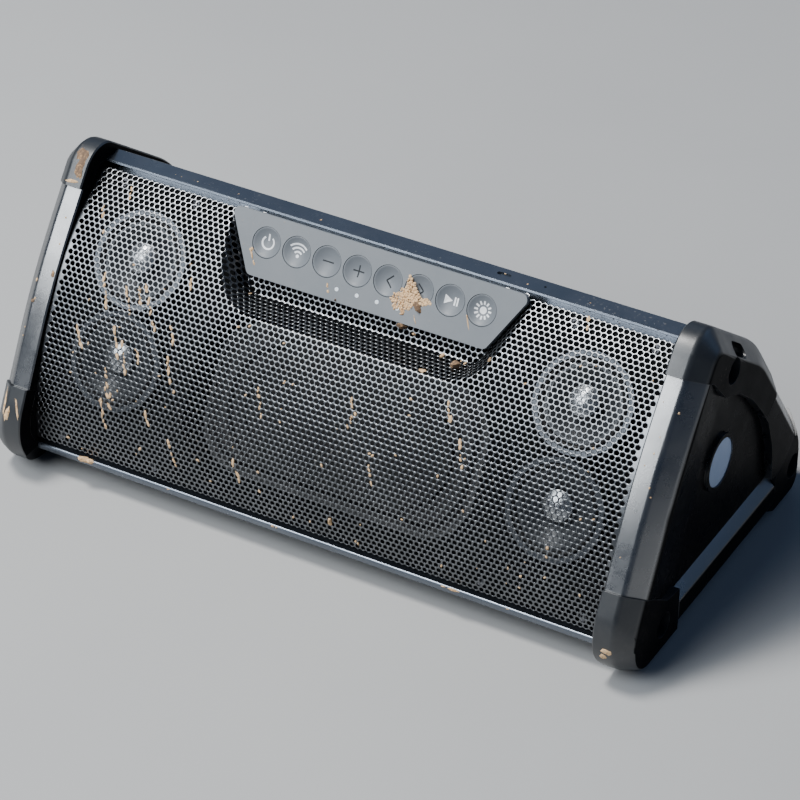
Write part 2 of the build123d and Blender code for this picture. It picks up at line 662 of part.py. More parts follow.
for side, side_name in ((-1, "left"), (1, "right")):
    for row in DRIVER_ROWS:
        where = driver_place(side, row)
        for piece, solid in (("basket", basket()), ("magnet", magnet()),
                             ("surround", surround()), ("cone", cone())):
            parts[f"{side_name}_{row}_{piece}"] = place(where * solid)
parts["radiator_frame"] = radiator_frame()
parts["radiator_surround"] = radiator_surround()
parts["radiator_plate"] = radiator_plate()

parts["battery_pack"] = battery_pack()
parts["amplifier_board"] = amplifier_board()
parts["port_panel"] = port_panel()
parts["port_sockets"] = port_sockets()
parts["port_cover"] = port_cover()
parts["port_hinge_pin"] = port_hinge_pin()

os.makedirs("parts", exist_ok=True)
for name, solid in parts.items():
    export_step(solid, f"parts/{name}.step")
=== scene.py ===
import json
import math
import random

import bmesh
import bpy
from mathutils import Matrix, Vector

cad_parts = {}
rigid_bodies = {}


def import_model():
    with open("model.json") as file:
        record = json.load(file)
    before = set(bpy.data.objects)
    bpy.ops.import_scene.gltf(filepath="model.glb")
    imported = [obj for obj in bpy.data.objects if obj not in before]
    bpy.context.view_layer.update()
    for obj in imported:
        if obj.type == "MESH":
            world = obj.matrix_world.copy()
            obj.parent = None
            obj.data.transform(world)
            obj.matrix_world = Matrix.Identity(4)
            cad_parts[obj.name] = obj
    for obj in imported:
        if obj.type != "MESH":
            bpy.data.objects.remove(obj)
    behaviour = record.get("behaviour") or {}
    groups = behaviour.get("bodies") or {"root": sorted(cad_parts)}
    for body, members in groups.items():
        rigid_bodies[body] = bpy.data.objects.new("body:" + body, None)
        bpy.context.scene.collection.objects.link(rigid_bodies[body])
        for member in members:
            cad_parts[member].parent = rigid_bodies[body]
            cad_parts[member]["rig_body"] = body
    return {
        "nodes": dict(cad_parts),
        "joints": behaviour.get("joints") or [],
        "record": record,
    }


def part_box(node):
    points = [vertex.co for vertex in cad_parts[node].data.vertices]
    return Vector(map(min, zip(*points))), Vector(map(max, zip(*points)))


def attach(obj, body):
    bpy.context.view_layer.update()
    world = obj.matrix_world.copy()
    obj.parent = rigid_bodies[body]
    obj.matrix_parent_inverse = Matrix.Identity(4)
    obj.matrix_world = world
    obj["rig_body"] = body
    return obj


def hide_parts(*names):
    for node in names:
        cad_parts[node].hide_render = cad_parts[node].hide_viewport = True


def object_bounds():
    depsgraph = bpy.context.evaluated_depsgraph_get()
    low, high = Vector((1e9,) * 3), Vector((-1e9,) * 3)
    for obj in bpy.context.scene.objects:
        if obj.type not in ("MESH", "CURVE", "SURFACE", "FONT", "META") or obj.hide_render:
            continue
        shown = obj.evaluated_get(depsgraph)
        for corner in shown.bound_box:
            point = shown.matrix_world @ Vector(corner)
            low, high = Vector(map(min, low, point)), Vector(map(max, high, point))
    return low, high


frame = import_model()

# The looks of the portable speaker. Lengths below are in millimetres unless a name says
# otherwise; MM turns them into the metres that Blender and the frame use.
MM = 0.001
CAD_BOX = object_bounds()
NODES = frame["nodes"]

# ---- the front's own frame: x along the length, v up the front, n out of it ------
RADIATOR = next(joint for joint in frame["joints"] if joint["name"] == "radiator_travel")
OUT = Vector(RADIATOR["axis"]).normalized()
UP = OUT.cross(Vector((1, 0, 0)))
CHORD = Vector((0, -47.6, 76.0))         # middle of the chord that the front bows out from
RAIL_HALF = 69.2                         # from there to each rail, up the front
GRILLE_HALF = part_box("front_grille")[1].x / MM
BULGE, BOW_POWER, BOW_HALF = 19.2, 2.5, 70.0
PANEL_LOW, PANEL_HIGH = 39.3, 68.8
PANEL_HALF_LOW, PANEL_HALF_HIGH = 62.8, 79.1
PANEL_SLOPE = (PANEL_HALF_HIGH - PANEL_HALF_LOW) / (PANEL_HIGH - PANEL_LOW)
PANEL_FACE = 6.3                         # how far the panel's face stands out of the chord
PAN_FLOOR, LEDGE, PAN_DRAFT = 3.2, 8.0, 0.6
SHEET = 0.75


def front(x, v, n):
    return (CHORD + Vector((x, 0, 0)) + UP * v + OUT * n) * MM


def bow(v):
    return BULGE * (1.0 - min(1.0, abs(v / BOW_HALF)) ** BOW_POWER)


# ---- mesh helpers ----------------------------------------------------------------
def mesh_object(name, verts, faces):
    mesh = bpy.data.meshes.new(name)
    mesh.from_pydata([tuple(v) for v in verts], [], faces)
    mesh.validate()
    obj = bpy.data.objects.new(name, mesh)
    bpy.context.scene.collection.objects.link(obj)
    return obj


def apply_modifiers(obj):
    """Bake an object's modifiers into its mesh."""
    graph = bpy.context.evaluated_depsgraph_get()
    baked = bpy.data.meshes.new_from_object(obj.evaluated_get(graph))
    obj.modifiers.clear()
    obj.data = baked


def smooth(obj, angle):
    obj.data.shade_smooth()
    obj.data.set_sharp_from_angle(angle=math.radians(angle))


def face_outward(obj):
    """Turn every face of a closed mesh outwards."""
    bm = bmesh.new()
    bm.from_mesh(obj.data)
    bmesh.ops.recalc_face_normals(bm, faces=bm.faces)
    bm.to_mesh(obj.data)
    bm.free()


def weigh_normals(obj):
    """Let large faces keep their own direction, so only narrow ones round an edge."""
    weigh = obj.modifiers.new("normals", "WEIGHTED_NORMAL")
    weigh.keep_sharp = True
    weigh.weight = 80
    apply_modifiers(obj)


def finish_piece(obj, body, slot, mat):
    obj.data.materials.clear()
    obj.data.materials.append(mat)
    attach(obj, body)


BEVEL_ANGLE = 28.0       # edges that turn by more than this many degrees are rounded
FLAT_ANGLE = 0.6         # faces that turn by less than this are joined before that


def softened(node, radius, mat):
    """A copy of a CAD node with its sharp edges rounded, standing for that node.

    With a radius of 0 the copy is only shaded smooth."""
    source = NODES[node]
    body = source["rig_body"]
    bm = bmesh.new()
    bm.from_mesh(source.data)
    bmesh.ops.remove_doubles(bm, verts=bm.verts, dist=1e-6)
    if radius:
        bmesh.ops.dissolve_limit(bm, angle_limit=math.radians(FLAT_ANGLE), verts=bm.verts,
                                 edges=bm.edges)
    mesh = bpy.data.meshes.new(node + "_finished")
    bm.to_mesh(mesh)
    bm.free()
    obj = bpy.data.objects.new(node + "_finished", mesh)
    bpy.context.scene.collection.objects.link(obj)
    if radius:
        bevel = obj.modifiers.new("edges", "BEVEL")
        bevel.width = radius * MM
        bevel.segments = 3
        bevel.limit_method = "ANGLE"
        bevel.angle_limit = math.radians(BEVEL_ANGLE)
        apply_modifiers(obj)
    smooth(obj, 32.0)
    if radius:
        weigh_normals(obj)
    slot = next(s["material_slot"] for s in frame["record"]["subparts"] if s["node"] == node)
    finish_piece(obj, body, slot, mat)
    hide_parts(node)


# ---- materials -------------------------------------------------------------------
class Nodes:
    """Short names for building one node material."""

    def __init__(self, name):
        self.mat = bpy.data.materials.new(name)
        self.mat.use_nodes = True
        self.tree = self.mat.node_tree
        self.bsdf = self.tree.nodes["Principled BSDF"]
        coords = self.tree.nodes.new("ShaderNodeTexCoord")
        self.place, self.facing = coords.outputs["Object"], coords.outputs["Normal"]

    def link(self, a, b):
        self.tree.links.new(a, b)

    def noise(self, scale, detail=4.0, roughness=0.55):
        node = self.tree.nodes.new("ShaderNodeTexNoise")
        node.inputs["Scale"].default_value = scale
        node.inputs["Detail"].default_value = detail
        node.inputs["Roughness"].default_value = roughness
        self.link(self.place, node.inputs["Vector"])
        return node.outputs["Fac"]

    def sideways(self):
        """How squarely the surface faces left or right."""
        node = self.tree.nodes.new("ShaderNodeSeparateXYZ")
        self.link(self.facing, node.inputs["Vector"])
        return self.math("ABSOLUTE", node.outputs["X"], 0.0)

    def specks(self, scale):
        node = self.tree.nodes.new("ShaderNodeTexVoronoi")
        node.inputs["Scale"].default_value = scale
        self.link(self.place, node.inputs["Vector"])
        return node.outputs["Distance"]

    def span(self, value, low, high, to_low=0.0, to_high=1.0):
        node = self.tree.nodes.new("ShaderNodeMapRange")
        node.inputs["From Min"].default_value = low
        node.inputs["From Max"].default_value = high
        node.inputs["To Min"].default_value = to_low
        node.inputs["To Max"].default_value = to_high
        self.link(value, node.inputs["Value"])
        return node.outputs["Result"]

    def math(self, operation, a, b):
        node = self.tree.nodes.new("ShaderNodeMath")
        node.operation = operation
        for socket, value in zip(node.inputs, (a, b)):
            if isinstance(value, (int, float)):
                socket.default_value = value
            else:
                self.link(value, socket)
        return node.outputs["Value"]

    def mix(self, factor, a, b):
        node = self.tree.nodes.new("ShaderNodeMix")
        node.data_type = "RGBA"
        if isinstance(factor, (int, float)):
            node.inputs["Factor"].default_value = factor
        else:
            self.link(factor, node.inputs["Factor"])
        for socket, value in ((node.inputs["A"], a), (node.inputs["B"], b)):
            if isinstance(value, tuple):
                socket.default_value = (*value, 1.0)
            else:
                self.link(value, socket)
        return node.outputs["Result"]

    def bump(self, height, strength, distance_mm, below=None):
        node = self.tree.nodes.new("ShaderNodeBump")
        node.inputs["Strength"].default_value = strength
        node.inputs["Distance"].default_value = distance_mm * MM
        self.link(height, node.inputs["Height"])
        if below is not None:
            self.link(below, node.inputs["Normal"])
        return node.outputs["Normal"]

    def set(self, name, value):
        socket = self.bsdf.inputs[name]
        if isinstance(value, (int, float)):
            socket.default_value = value
        elif isinstance(value, tuple):
            socket.default_value = (*value, 1.0)
        else:
            self.link(value, socket)


DUST = (0.30, 0.27, 0.23)
MUD = (0.34, 0.29, 0.23)


def surface(name, colour, other, roughness, metallic=0.0, grain=900.0, grain_depth=0.03,
            dust=0.3, mud=0.5, specular=0.5, ior=1.5, shade_sides=False):
    """A worn outdoor surface: two-tone colour, fine grain, dust in patches and mud specks.

    With the side flag set, faces square to the left or right are painted black and matt: painted shade
    for sides that face away from the light."""
    n = Nodes(name)
    tone = n.mix(n.span(n.noise(28.0, 5.0), 0.35, 0.65), colour, other)
    patches = n.span(n.noise(17.0, 6.0, 0.7), 0.50, 0.72)
    fine = n.span(n.noise(420.0, 3.0, 0.7), 0.42, 0.66)
    dusty = n.math("MULTIPLY", n.math("MULTIPLY", patches, fine), dust)
    where = n.span(n.noise(21.0, 3.0, 0.6), 0.52, 0.66)
    spot = n.span(n.specks(330.0), 0.10, 0.22, 1.0, 0.0)
    small = n.span(n.specks(760.0), 0.12, 0.20, 0.8, 0.0)
    muddy = n.math("MULTIPLY", n.math("MAXIMUM", spot, small), n.math("MULTIPLY", where, mud))
    dirt = n.math("MAXIMUM", dusty, muddy)
    if shade_sides:
        # painted shade: faces turned left or right are made near black with almost no reflection
        side_shade = n.span(n.sideways(), 0.86, 0.97)
        tone = n.mix(side_shade, tone, (0.0050, 0.0050, 0.0056))
        n.set("Specular IOR Level", n.span(side_shade, 0.0, 1.0, specular, 0.3))
        n.set("IOR", n.span(side_shade, 0.0, 1.0, ior, 1.08))
    else:
        n.set("Specular IOR Level", specular)
        n.set("IOR", ior)
    n.set("Base Color", n.mix(muddy, n.mix(dusty, tone, DUST), MUD))
    worn = n.span(n.noise(60.0, 4.0, 0.6), 0.3, 0.7, roughness - 0.05, roughness + 0.07)
    n.set("Roughness", n.math("ADD", worn, n.math("MULTIPLY", dirt, 0.45)))
    if metallic:
        n.set("Metallic", n.math("MULTIPLY", n.math("SUBTRACT", 1.0, dirt), metallic))
    relief = n.bump(n.noise(grain, 2.0, 0.6), 0.6, grain_depth)
    n.set("Normal", n.bump(muddy, 0.8, 0.25, relief))
    return n.mat


GRILLE = surface("grille_metal", (0.185, 0.192, 0.202), (0.135, 0.141, 0.149), 0.26, 1.0,
                 1400.0, 0.012, 0.05, 0.3)
RAIL = surface("rail_metal", (0.150, 0.172, 0.208), (0.120, 0.139, 0.170), 0.26, 0.9, 1600.0, 0.01,
               0.06, 0.3)
# cap, bumper and skid plastic: the closing True paints shade onto their left and right faces
CAP = surface("cap_plastic", (0.008, 0.0105, 0.0140), (0.011, 0.0135, 0.0175), 0.27, 0.0,
              1500.0, 0.03, 0.03, 0.0, 1.0, 2.05, True)
RUBBER = surface("bumper_rubber", (0.008, 0.0105, 0.0140), (0.012, 0.0145, 0.0180), 0.38, 0.0,
                 1300.0, 0.04, 0.05, 0.2, 0.9, 1.5, True)
SKID = surface("skid_plastic", (0.010, 0.013, 0.018), (0.013, 0.016, 0.021), 0.30, 0.0,
               1300.0, 0.03, 0.04, 0.2, 1.0, 1.7, True)
PANEL = surface("panel_rubber", (0.165, 0.180, 0.196), (0.190, 0.204, 0.219), 0.50, 0.0,
                1800.0, 0.03, 0.10, 0.25, 0.4)
KEY = surface("button_rubber", (0.138, 0.152, 0.168), (0.152, 0.166, 0.182), 0.40, 0.0,
              1900.0, 0.03, 0.05, 0.12, 0.45)
DISC = surface("disc_metal", (0.30, 0.39, 0.56), (0.26, 0.35, 0.52), 0.42, 0.9, 1500.0, 0.01,
               0.15, 0.15)
SCREW = surface("screw_steel", (0.10, 0.10, 0.11), (0.13, 0.13, 0.14), 0.35, 0.9, 1200.0, 0.02,
                0.25, 0.2)
HOUSING = surface("housing_plastic", (0.014, 0.0150, 0.0165), (0.020, 0.0210, 0.0225), 0.5, 0.0,
                  1500.0, 0.05, 0.04, 0.15, 0.5)
# painted shade: the baffle behind the grille is near black and almost unreflecting, darker than its
# own plastic, for the shade behind the sheet
BAFFLE_SHADE = surface("baffle_black", (0.003, 0.0034, 0.004), (0.005, 0.0055, 0.006), 0.7, 0.0,
                 1500.0, 0.04, 0.0, 0.0, 0.05)
BASKET = surface("basket_steel", (0.11, 0.12, 0.135), (0.08, 0.088, 0.10), 0.40, 0.8,
                 1300.0, 0.02, 0.1, 0.0)
MAGNET = surface("magnet_steel", (0.28, 0.28, 0.29), (0.22, 0.22, 0.23), 0.35, 0.9, 1200.0, 0.02,
                 0.1, 0.0)
SURROUND = surface("surround_rubber", (0.008, 0.008, 0.009), (0.012, 0.012, 0.013), 0.5, 0.0,
                   1500.0, 0.03, 0.05, 0.0, 0.3)
CONE = surface("cone", (0.030, 0.034, 0.040), (0.045, 0.049, 0.055), 0.36, 0.3, 1500.0, 0.02, 0.1, 0.0)
DUST_CAP = surface("dust_cap", (0.62, 0.64, 0.66), (0.52, 0.54, 0.56), 0.22, 0.9, 1500.0, 0.01,
                   0.05, 0.0)
PLATE = surface("radiator_plate", (0.006, 0.0065, 0.007), (0.009, 0.0095, 0.010), 0.5, 0.0,
                1500.0, 0.03, 0.03, 0.0, 0.2)
BOARD = surface("board", (0.02, 0.10, 0.05), (0.015, 0.08, 0.04), 0.35, 0.0, 900.0, 0.02, 0.0, 0.0)
SWITCH = surface("switch_plastic", (0.02, 0.02, 0.02), (0.03, 0.03, 0.03), 0.5, 0.0, 900.0, 0.02,
                 0.0, 0.0)
SOCKET = surface("socket_metal", (0.55, 0.55, 0.57), (0.48, 0.48, 0.50), 0.28, 0.95, 900.0, 0.01,
                 0.1, 0.0)
WRAP = surface("battery_wrap", (0.03, 0.10, 0.25), (0.025, 0.08, 0.20), 0.3, 0.0, 900.0, 0.02,
               0.0, 0.0)
INK = surface("icon_white", (0.88, 0.89, 0.90), (0.80, 0.82, 0.84), 0.45, 0.0, 1500.0, 0.01,
              0.12, 0.15)
# painted shade: the dark strokes on the buttons stand in for the shade inside their engraved symbols,
# which are of the button rubber
GROOVE_SHADE = surface("icon_dark", (0.020, 0.023, 0.027), (0.028, 0.031, 0.035), 0.7, 0.0, 1500.0, 0.02,
                   0.05, 0.0, 0.2)


def lens_material():
    n = Nodes("lens")
    n.set("Base Color", (0.85, 0.88, 0.90))
    n.set("Roughness", n.span(n.noise(700.0), 0.3, 0.7, 0.2, 0.4))
    n.set("Subsurface Weight", 0.3)
    n.set("Emission Color", (0.9, 0.95, 1.0))
    n.set("Emission Strength", 0.25)
    return n.mat


LENS = lens_material()


def crumbly(name, light, dark, share):
    """Dried mud: two earth colours in small grains, with a rough face."""
    n = Nodes(name)
    grains = n.span(n.noise(650.0, 6.0, 0.75), share - 0.06, share + 0.06)
    n.set("Base Color", n.mix(grains, light, dark))
    n.set("Roughness", n.span(n.noise(900.0), 0.3, 0.7, 0.75, 0.95))
    n.set("Specular IOR Level", 0.2)
    n.set("Normal", n.bump(n.noise(1100.0, 5.0, 0.7), 0.9, 0.15))
    return n.mat


CLAY = crumbly("dried_clay", (0.74, 0.50, 0.28), (0.32, 0.18, 0.09), 0.58)
EARTH = crumbly("dried_earth", (0.16, 0.105, 0.07), (0.45, 0.28, 0.15), 0.56)

CARRIED = {
    "battery_wrap": WRAP, "board": BOARD, "switch_plastic": SWITCH, "basket_steel": BASKET,
    "magnet_steel": MAGNET, "surround_rubber": SURROUND, "cone": CONE, "radiator_plate": PLATE,
    "housing_plastic": HOUSING, "socket_metal": SOCKET, "lens": LENS, "screw_steel": SCREW,
    "disc_metal": DISC, "cap_plastic": CAP, "bumper_rubber": RUBBER, "skid_plastic": SKID,
    "panel_rubber": PANEL, "button_rubber": KEY, "rail_metal": RAIL, "grille_metal": GRILLE,
}


def dress_cad():
    for row in frame["record"]["subparts"]:
        node = NODES[row["node"]]
        node.data.materials.clear()
        plain = CARRIED[row["material_slot"]]
        # the front baffle takes the painted-shade black instead of its own slot's plastic
        node.data.materials.append(BAFFLE_SHADE if row["node"] == "front_baffle" else plain)


# ---- perforated grille -----------------------------------------------------------
PITCH, HOLE_RADIUS = 2.95, 1.13
RIM_WIDTH, RIM_DEPTH = 0.13, 0.13        # rounded edge of each hole
ROW = PITCH * math.sqrt(3) / 2
EDGE_LAND = 0.3                          # sheet left between the last holes and its ends
HIDDEN = 3.2                             # no cells are made this far in under the panel
ARC_STEP = 0.25
GRILLE_PIECES = 6
RECESS_HALF = 92.0                       # the recess stays within this of the middle


def outside_panel(x, v, low, grow, radius):
    """Distance outside the panel's trapezoid, grown, with its lower edge at low."""
    half = PANEL_HALF_LOW + (v - PANEL_LOW) * PANEL_SLOPE
    side = (abs(x) - half) / math.hypot(1.0, PANEL_SLOPE) - grow + radius
    below = low - v + radius
    return min(max(side, below), 0.0) + math.hypot(max(side, 0.0), max(below, 0.0)) - radius


def smooth_min(a, b, reach):
    h = max(reach - abs(a - b), 0.0) / reach
    return min(a, b) - h * h * reach / 4.0


def height(x, v):
    """How far the pressed sheet stands out of the chord."""
    d = outside_panel(x, v, PANEL_LOW - LEDGE, 0.7, 4.0)
    wall = PAN_FLOOR + (d + math.hypot(d, 0.6)) / 2.0 / PAN_DRAFT
    return smooth_min(bow(v), wall, 2.0)


ARCS = {}


def arc_table(x, up):
    """Length along the sheet at one x, for even steps of v from the middle to the edge."""
    key = (round(min(abs(x), RECESS_HALF), 1), up)
    if key not in ARCS:
        lengths = [0.0]
        steps = int(RAIL_HALF / ARC_STEP)
        for i in range(steps):
            rise = height(key[0], up * (i + 1) * ARC_STEP) - height(key[0], up * i * ARC_STEP)
            lengths.append(lengths[-1] + math.hypot(ARC_STEP, rise))
        ARCS[key] = lengths
    return ARCS[key]


def v_at(x, length):
    """Height up the front at a length along the sheet from the middle."""
    up = 1 if length > 0 else -1
    table = arc_table(x, up)
    target = min(abs(length), table[-1])
    low, high = 0, len(table) - 1
    while high - low > 1:
        middle = (low + high) // 2
        if table[middle] <= target:
            low = middle
        else:
            high = middle
    part = (target - table[low]) / (table[high] - table[low])
    return up * (low + part) * ARC_STEP


def on_sheet(x, length, sink=0.0):
    v = v_at(x, length)
    here = front(x, v, height(x, v))
    if not sink:
        return here
    step = 0.2
    along = front(x + step, v, height(x + step, v)) - here
    across = front(x, v + step, height(x, v + step)) - here
    return here - along.cross(across).normalized() * sink * MM


class Sheet:
    """One stretch of the grille while its cells are added."""

    def __init__(self):
        self.lookup, self.verts, self.faces = {}, [], []

    def vertex(self, x, length, sink=0.0):
        edge = arc_table(x, 1 if length > 0 else -1)[-1]
        x = max(-GRILLE_HALF, min(GRILLE_HALF, x))
        length = max(-edge, min(edge, length))
        key = (round(x, 3), round(length, 3), sink)
        if key not in self.lookup:
            self.lookup[key] = len(self.verts)
            self.verts.append(on_sheet(x, length, sink))
        return self.lookup[key]

    def cell(self, x, length, holed):
        """A hexagon of sheet, with a round hole whose edge is eased."""
        turns = [math.radians(30 * k) for k in range(12)]
        reach = [PITCH / math.sqrt(3) if k % 2 else PITCH / 2 for k in range(12)]
        outer = [self.vertex(x + r * math.cos(a), length + r * math.sin(a))
                 for a, r in zip(turns, reach)]
        if not holed:
            loop = tuple(dict.fromkeys(outer))
            if len(loop) > 2:
                self.faces.append(loop)
            return
        rings = [outer]
        for radius, sink in ((HOLE_RADIUS + RIM_WIDTH, 0.0), (HOLE_RADIUS, RIM_DEPTH)):
            rings.append([self.vertex(x + radius * math.cos(a), length + radius * math.sin(a), sink)
                          for a in turns])
        for wide, narrow in zip(rings, rings[1:]):
            for k in range(12):
                after = (k + 1) % 12
                self.faces.append((wide[k], wide[after], narrow[after], narrow[k]))


def grille():
    """The bowed sheet as hexagonal cells round their holes, in a few stretches."""
    longest = arc_table(0.0, 1)[-1]
    rows = int(longest / ROW) + 1
    columns = int(GRILLE_HALF / PITCH) + 2
    stretches = [Sheet() for _ in range(GRILLE_PIECES)]
    for j in range(-rows, rows + 1):
        for i in range(-columns, columns + 1):
            x, length = (i + 0.5 * (j % 2)) * PITCH, j * ROW
            inside_x = GRILLE_HALF - abs(x)
            inside_v = arc_table(x, 1 if length > 0 else -1)[-1] - abs(length)
            if inside_x < -PITCH / 2 or inside_v < HOLE_RADIUS + RIM_WIDTH:
                continue
            v = v_at(x, length)
            if v < PANEL_HIGH - 3.5 and outside_panel(x, v, PANEL_LOW, 0, 3.0) < -HIDDEN:
                continue
            holed = inside_x > HOLE_RADIUS + RIM_WIDTH + EDGE_LAND
            number = int((x + GRILLE_HALF) / (2 * GRILLE_HALF) * GRILLE_PIECES)
            stretches[max(0, min(GRILLE_PIECES - 1, number))].cell(x, length, holed)
    for number, stretch in enumerate(stretches):
        obj = mesh_object(f"grille_sheet_{number + 1}", stretch.verts, stretch.faces)
        solid = obj.modifiers.new("sheet", "SOLIDIFY")
        solid.thickness = (SHEET - RIM_DEPTH) * MM
        solid.offset = -1.0
        apply_modifiers(obj)
        smooth(obj, 50.0)
        finish_piece(obj, "cabinet", "grille_metal", GRILLE)
        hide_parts("front_grille")


# ---- button icons ----------------------------------------------------------------
BUTTONS = ("power", "wireless", "minus", "plus", "previous", "next", "play", "light")
BUTTON_ROW = 56.0                        # height of the row of buttons up the front
BUTTON_DISH, DISH_RADIUS = 4.3, 14.2
INK_WIDTH, INK_RISE, INK_ROOT = 0.85, 0.05, -0.1
GROOVE_SHADE_WIDTH = 0.65
ARC_TURN = 12                            # degrees between an arc's points
LINE_PARTS = 4


def dish(dx, dv):
    """Height of a button's dished face at a place on it."""
    return BUTTON_DISH + DISH_RADIUS - math.sqrt(DISH_RADIUS ** 2 - dx * dx - dv * dv)


def arc(radius, start, end, centre=(0.0, 0.0)):
    count = max(4, int(abs(end - start) / ARC_TURN))
    turns = [math.radians(start + (end - start) * k / count) for k in range(count + 1)]
    return [(centre[0] + radius * math.cos(a), centre[1] + radius * math.sin(a)) for a in turns]


def line(start, end):
    run, climb = end[0] - start[0], end[1] - start[1]
    return [(start[0] + run * k / LINE_PARTS, start[1] + climb * k / LINE_PARTS)
            for k in range(LINE_PARTS + 1)]


def disc(radius, centre=(0.0, 0.0)):
    return arc(radius, 0, 360 - ARC_TURN, centre)


def printed(name, x, v, strokes, fills, width, mat):
    """Raised strokes and filled outlines that follow a button's dished face."""
    verts, faces = [], []

    def put(dx, dv):
        for lift in (INK_RISE, INK_ROOT):
            verts.append(front(x + dx, v + dv, dish(dx, dv) + lift))
        return len(verts) - 2

    for points in strokes:
        pairs = []
        for k, (px, pv) in enumerate(points):
            before, after = points[max(0, k - 1)], points[min(len(points) - 1, k + 1)]
            along = Vector((after[0] - before[0], after[1] - before[1])).normalized()
            side = Vector((-along.y, along.x)) * width / 2
            pairs.append((put(px + side.x, pv + side.y), put(px - side.x, pv - side.y)))
        for (a, b), (c, d) in zip(pairs, pairs[1:]):
            faces += [(a, b, d, c), (a, c, c + 1, a + 1), (b, b + 1, d + 1, d),
                      (a + 1, c + 1, d + 1, b + 1)]
        for a, b in (pairs[0], pairs[-1]):
            faces.append((a, a + 1, b + 1, b))
    for outline in fills:
        ring = [put(dx, dv) for dx, dv in outline]
        middle = put(sum(p[0] for p in outline) / len(outline),
                     sum(p[1] for p in outline) / len(outline))
        for a, b in zip(ring, ring[1:] + ring[:1]):
            faces += [(a, b, middle), (b, a, a + 1, b + 1), (b + 1, a + 1, middle + 1)]
    obj = mesh_object("icon_" + name, verts, faces)
    face_outward(obj)
    finish_piece(obj, "button_" + name, "lens" if mat is INK else "button_rubber", mat)


def icons():
    rays = [line((2.6 * math.cos(a), 2.6 * math.sin(a)), (4.3 * math.cos(a), 4.3 * math.sin(a)))
            for a in (math.radians(30 * k) for k in range(12))]
    white = {
        "power": ([arc(3.0, 128, 412), line((0, 0.9), (0, 4.2))], []),
        "wireless": ([arc(2.3, 40, 140, (0, -2.2)), arc(4.2, 42, 138, (0, -2.2)),
                      arc(6.0, 44, 136, (0, -2.2))], [disc(0.8, (0, -2.0))]),
        "play": ([line((1.7, -1.9), (1.7, 1.9)), line((3.1, -1.9), (3.1, 1.9))],
                 [[(-3.4, -2.2), (0.5, 0.0), (-3.4, 2.2)]]),
        "light": (rays, [disc(1.7)]),
    }
    # minus, plus, previous and next: raised dark strokes, painted as the shade in engraved symbols
    dark = {
        "minus": [line((-2.9, 0), (2.9, 0))],
        "plus": [line((-2.9, 0), (2.9, 0)), line((0, -2.9), (0, 2.9))],
        "previous": [line((1.6, 2.9), (-1.5, 0)), line((-1.5, 0), (1.6, -2.9))],
        "next": [line((-1.6, 2.9), (1.5, 0)), line((1.5, 0), (-1.6, -2.9))],
    }
    for name, (strokes, fills) in white.items():
        x, v = button_place(name)
        printed(name, x, v, strokes, fills, INK_WIDTH, INK)
    for name, strokes in dark.items():
        x, v = button_place(name)
        printed(name, x, v, strokes, [], GROOVE_SHADE_WIDTH, GROOVE_SHADE)


def button_place(name):
    """Middle of a button in the front's own frame."""
    low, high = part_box("button_" + name)
    return (low.x + high.x) / 2 / MM, BUTTON_ROW


# ---- dried mud -------------------------------------------------------------------
PILES = {}           # (material slot, material) -> vertices and faces of its mud
DICE = random.Random(11)


def mud_patch(slot, mat, place, length, width, rise, lean=0.0, count=11):
    """A ragged flake on a surface; place(a, b, lift) maps it into the frame."""
    verts, faces = PILES.setdefault((slot, mat.name), ([], []))
    start = len(verts)
    for reach, lift in ((1.0, -0.05), (0.72, 0.55), (0.35, 0.9)):
        for k in range(count):
            a = 2 * math.pi * k / count
            r = reach * DICE.uniform(0.62, 1.15)
            dx, dv = width / 2 * r * math.cos(a), length / 2 * r * math.sin(a)
            turned_x = dx * math.cos(lean) - dv * math.sin(lean)
            turned_v = dx * math.sin(lean) + dv * math.cos(lean)
            verts.append(place(turned_x, turned_v, rise * lift * DICE.uniform(0.7, 1.2)))
    verts.append(place(0, 0, rise * DICE.uniform(0.8, 1.1)))
    verts.append(place(0, 0, -0.1))
    for k in range(count):
        after = (k + 1) % count
        for ring in (0, 1):
            a, b = start + ring * count, start + (ring + 1) * count
            faces.append((a + k, a + after, b + after, b + k))
        top = start + 2 * count
        faces.append((top + k, top + after, start + 3 * count))
        faces.append((start + after, start + k, start + 3 * count + 1))


def on_grille(x, v):
    def place(a, b, lift):
        stand = height(x + a, max(-RAIL_HALF + 0.2, min(RAIL_HALF - 0.2, v + b)))
        return front(x + a, v + b, stand + lift)
    return place


def pebble(x, v, long, wide, rise):
    """A round lump of earth lying on the sheet."""
    base = height(x, v)
    mud_patch("grille_metal", EARTH, lambda a, b, lift: front(x + a, v + b, base + lift),
              long, wide, rise)


def on_panel(x, v):
    return lambda a, b, lift: front(x + a, v + b, PANEL_FACE + lift)


def dribble(x, v, long, drift):
    """A broken run of mud down the sheet; drift is how far it strays along x per height."""
    along = 0.0
    while along < long:
        size = DICE.uniform(0.8, 2.6)
        where = on_grille(x + drift * along + DICE.uniform(-0.6, 0.6), v - along)
        mud_patch("grille_metal", CLAY, where, size * DICE.uniform(1.0, 2.1), size * 0.75, 0.35,
                  DICE.uniform(-0.2, 0.9), 7)
        along += size * DICE.uniform(0.7, 2.0)


